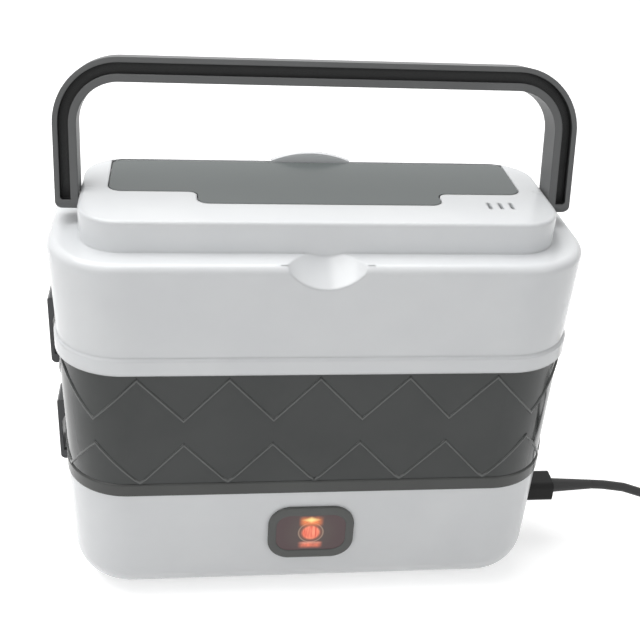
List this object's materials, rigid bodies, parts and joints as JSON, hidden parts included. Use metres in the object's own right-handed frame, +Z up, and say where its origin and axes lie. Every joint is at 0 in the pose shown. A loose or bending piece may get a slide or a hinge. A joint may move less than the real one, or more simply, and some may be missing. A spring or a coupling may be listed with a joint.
{
  "type": "electric lunch box",
  "caption": "Upright electric lunch box with a heated base, a zigzag-ribbed stacking tier, a latched cover with a cutlery lid, and a folding carry handle.",
  "frame": {"origin": "middle of the standing surface under the four feet, with the cord left out", "axes": "+Z up, +X to the right along the width with the cord inlet, front with the indicator towards -Y"},
  "size_m": [0.4314, 0.159, 0.2584],
  "materials": {
    "white_shell": "glossy white moulded plastic",
    "dark_tier": "glossy dark grey moulded plastic",
    "dark_handle": "glossy dark grey moulded plastic",
    "grey_trim": "satin mid grey moulded plastic",
    "grey_panel": "satin grey-green plastic panel",
    "grey_latch": "glossy grey latch plastic",
    "smoked_lens": "smoked glossy lens",
    "lamp_glow": "lit orange indicator lamp",
    "rubber_dark": "dark rubber",
    "silicone": "translucent white silicone",
    "stainless": "brushed stainless steel",
    "pin_steel": "bright steel pins and screws",
    "aluminium_cast": "cast aluminium",
    "food_lid_plastic": "pale grey food lid plastic",
    "ceramic": "ceramic and mica body",
    "board_laminate": "brown laminate board",
    "lead_red": "red silicone wire",
    "lead_white": "white silicone wire",
    "brass_contacts": "brass contacts",
    "cord_black": "black flexible cord",
    "connector_black": "black moulded connector"
  },
  "bodies": {
    "base": {"base_shell": "white_shell", "bottom_cover": "white_shell", "rubber_feet": "rubber_dark", "bottom_screws": "pin_steel", "base_trim": "grey_trim", "heating_pan": "aluminium_cast", "pan_seal": "silicone", "heater_plate": "aluminium_cast", "heating_element": "ceramic", "element_clamp": "stainless", "clamp_screws": "pin_steel", "thermostat": "connector_black", "thermal_fuse": "ceramic", "inlet_socket": "connector_black", "inlet_pins": "brass_contacts", "indicator_bezel": "grey_trim", "indicator_lens": "smoked_lens", "lamp_ring": "grey_trim", "neon_lamp": "lamp_glow", "lamp_board": "board_laminate", "supply_leads": "lead_red", "lamp_leads": "lead_white", "lower_latch_pins": "pin_steel", "cord_connector": "connector_black", "cord_boot": "cord_black", "cord_lead": "cord_black", "cord_coil": "cord_black", "cord_tail": "cord_black", "mains_plug": "connector_black", "plug_blades": "brass_contacts"},
    "lower_latch_left": {"lower_latch_left": "grey_latch"},
    "lower_latch_right": {"lower_latch_right": "grey_latch"},
    "lower_container": {"lower_container": "stainless"},
    "lower_lid": {"lower_lid": "food_lid_plastic", "lower_lid_seal": "silicone", "lower_lid_valve": "silicone"},
    "tier": {"tier_shell": "dark_tier", "tier_seal": "silicone", "upper_latch_pins": "pin_steel"},
    "upper_latch_left": {"upper_latch_left": "grey_latch"},
    "upper_latch_right": {"upper_latch_right": "grey_latch"},
    "upper_container": {"upper_container": "stainless"},
    "upper_lid": {"upper_lid": "food_lid_plastic", "upper_lid_seal": "silicone", "upper_lid_valve": "silicone"},
    "cover": {"cover_shell": "white_shell", "cover_seal": "silicone", "handle_pivots": "pin_steel", "cutlery_hinge_pins": "pin_steel", "spoon": "stainless", "fork": "stainless"},
    "cutlery_lid": {"cutlery_lid": "grey_panel"},
    "handle": {"handle": "dark_handle"}
  },
  "joints": [
    {"name": "tier_lift", "type": "slide", "parent": "base", "child": "tier", "axis": [0, 0, 1], "range_m": [0, 0.11]},
    {"name": "lower_container_lift", "type": "slide", "parent": "base", "child": "lower_container", "axis": [0, 0, 1], "range_m": [0, 0.055]},
    {"name": "lower_lid_lift", "type": "slide", "parent": "base", "child": "lower_lid", "axis": [0, 0, 1], "range_m": [0, 0.0825]},
    {"name": "lower_latch_left_turn", "type": "hinge", "parent": "base", "child": "lower_latch_left", "pos_m": [-0.1201, 0, 0.0612], "axis": [0, -1, 0], "range_deg": [0, 105]},
    {"name": "lower_latch_right_turn", "type": "hinge", "parent": "base", "child": "lower_latch_right", "pos_m": [0.1201, 0, 0.0612], "axis": [0, 1, 0], "range_deg": [0, 105]},
    {"name": "cover_lift", "type": "slide", "parent": "tier", "child": "cover", "axis": [0, 0, 1], "range_m": [0, 0.11]},
    {"name": "upper_container_lift", "type": "slide", "parent": "tier", "child": "upper_container", "axis": [0, 0, 1], "range_m": [0, 0.055]},
    {"name": "upper_lid_lift", "type": "slide", "parent": "tier", "child": "upper_lid", "axis": [0, 0, 1], "range_m": [0, 0.0825]},
    {"name": "upper_latch_left_turn", "type": "hinge", "parent": "tier", "child": "upper_latch_left", "pos_m": [-0.121, 0, 0.1173], "axis": [0, -1, 0], "range_deg": [0, 105]},
    {"name": "upper_latch_right_turn", "type": "hinge", "parent": "tier", "child": "upper_latch_right", "pos_m": [0.121, 0, 0.1173], "axis": [0, 1, 0], "range_deg": [0, 105]},
    {"name": "cutlery_lid_turn", "type": "hinge", "parent": "cover", "child": "cutlery_lid", "pos_m": [0, 0.029, 0.1972], "axis": [-1, 0, 0], "range_deg": [0, 100]},
    {"name": "handle_turn", "type": "hinge", "parent": "cover", "child": "handle", "pos_m": [0, 0, 0.1969], "axis": [1, 0, 0], "range_deg": [-78, 102]}
  ],
  "couplings": [
    {"joint": "lower_container_lift", "follows": "tier_lift", "ratio": 0.5},
    {"joint": "lower_lid_lift", "follows": "tier_lift", "ratio": 0.75},
    {"joint": "lower_latch_left_turn", "follows": "tier_lift", "rad_per_m": 16.66},
    {"joint": "lower_latch_right_turn", "follows": "tier_lift", "rad_per_m": 16.66},
    {"joint": "upper_container_lift", "follows": "cover_lift", "ratio": 0.5},
    {"joint": "upper_lid_lift", "follows": "cover_lift", "ratio": 0.75},
    {"joint": "upper_latch_left_turn", "follows": "cover_lift", "rad_per_m": 16.66},
    {"joint": "upper_latch_right_turn", "follows": "cover_lift", "rad_per_m": 16.66}
  ]
}
